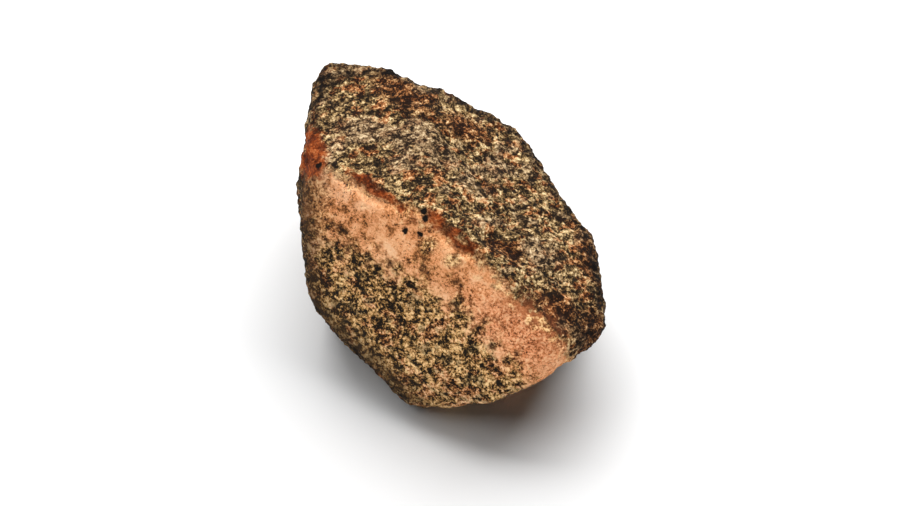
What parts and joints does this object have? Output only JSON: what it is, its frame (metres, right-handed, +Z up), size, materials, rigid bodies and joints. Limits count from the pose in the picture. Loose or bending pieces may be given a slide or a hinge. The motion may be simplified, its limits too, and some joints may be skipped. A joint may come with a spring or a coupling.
{
  "type": "rough granite stone",
  "caption": "Fist-sized rough lump of pink granite, with a fresh speckled break, a weathered crust and a flat break that it rests on.",
  "frame": {"origin": "under the middle of the stone, on the surface that it rests on", "axes": "+Z up from the resting face, +Y from the fresh front break to the back, which is the stone's longest way, +X to the nose"},
  "size_m": [0.1092, 0.1178, 0.0691],
  "materials": {
    "granite": "rough, speckled pink granite with a grey-brown weathered crust and rust stains"
  },
  "bodies": {
    "root": {"rock": "granite"}
  },
  "joints": []
}
